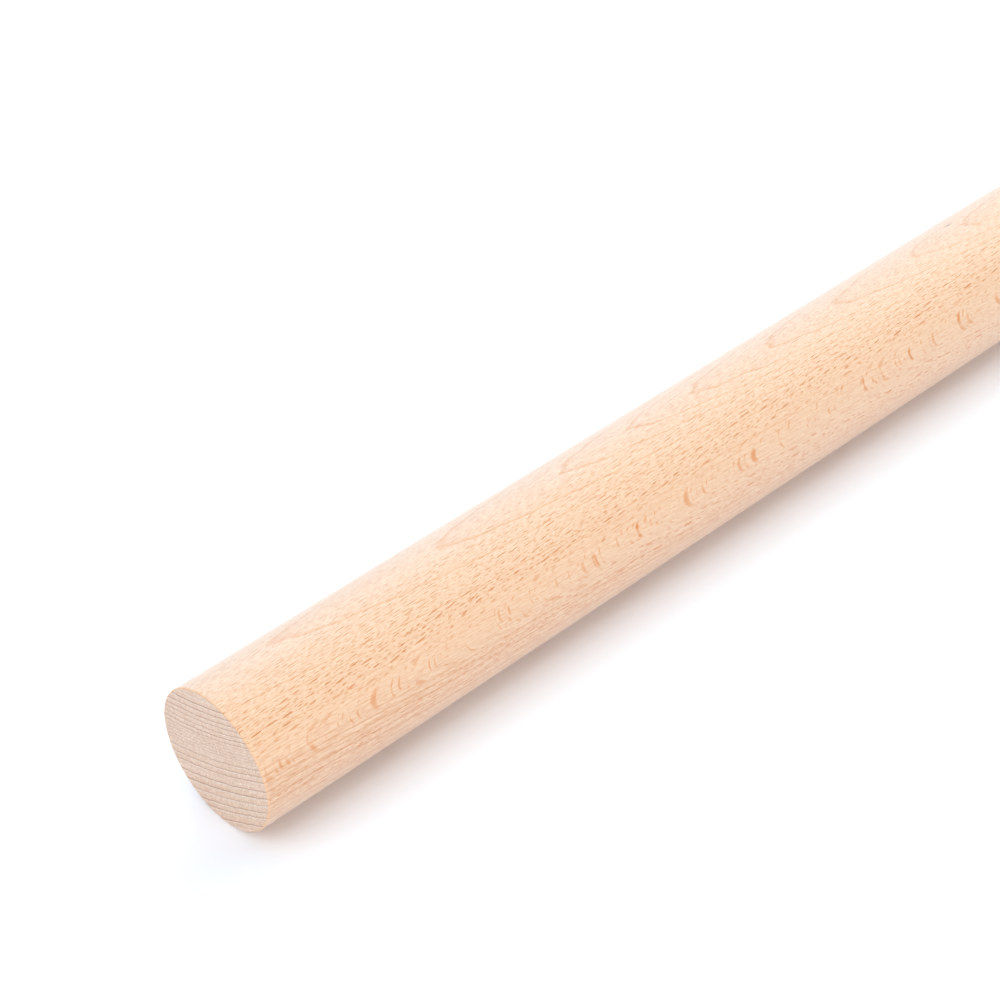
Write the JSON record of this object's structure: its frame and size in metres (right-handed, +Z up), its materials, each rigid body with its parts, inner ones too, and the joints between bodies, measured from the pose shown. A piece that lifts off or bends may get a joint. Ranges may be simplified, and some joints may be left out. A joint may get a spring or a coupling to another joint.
{
  "type": "wooden dowel rod",
  "caption": "Plain round beech dowel rod: a straight bar, sanded smooth along its length and sawn square at both ends, with lightly eased arrises.",
  "frame": {"origin": "on the rod's axis, halfway between its two sawn ends", "axes": "+X along the rod's axis, from the near end to the far end; +Z up as the rod lies on its side"},
  "size_m": [0.5, 0.04, 0.04],
  "materials": {
    "beech": "bare unfinished beech, sanded smooth along the shaft, sawn across the ends"
  },
  "bodies": {
    "root": {"dowel_rod": "beech"}
  },
  "joints": []
}
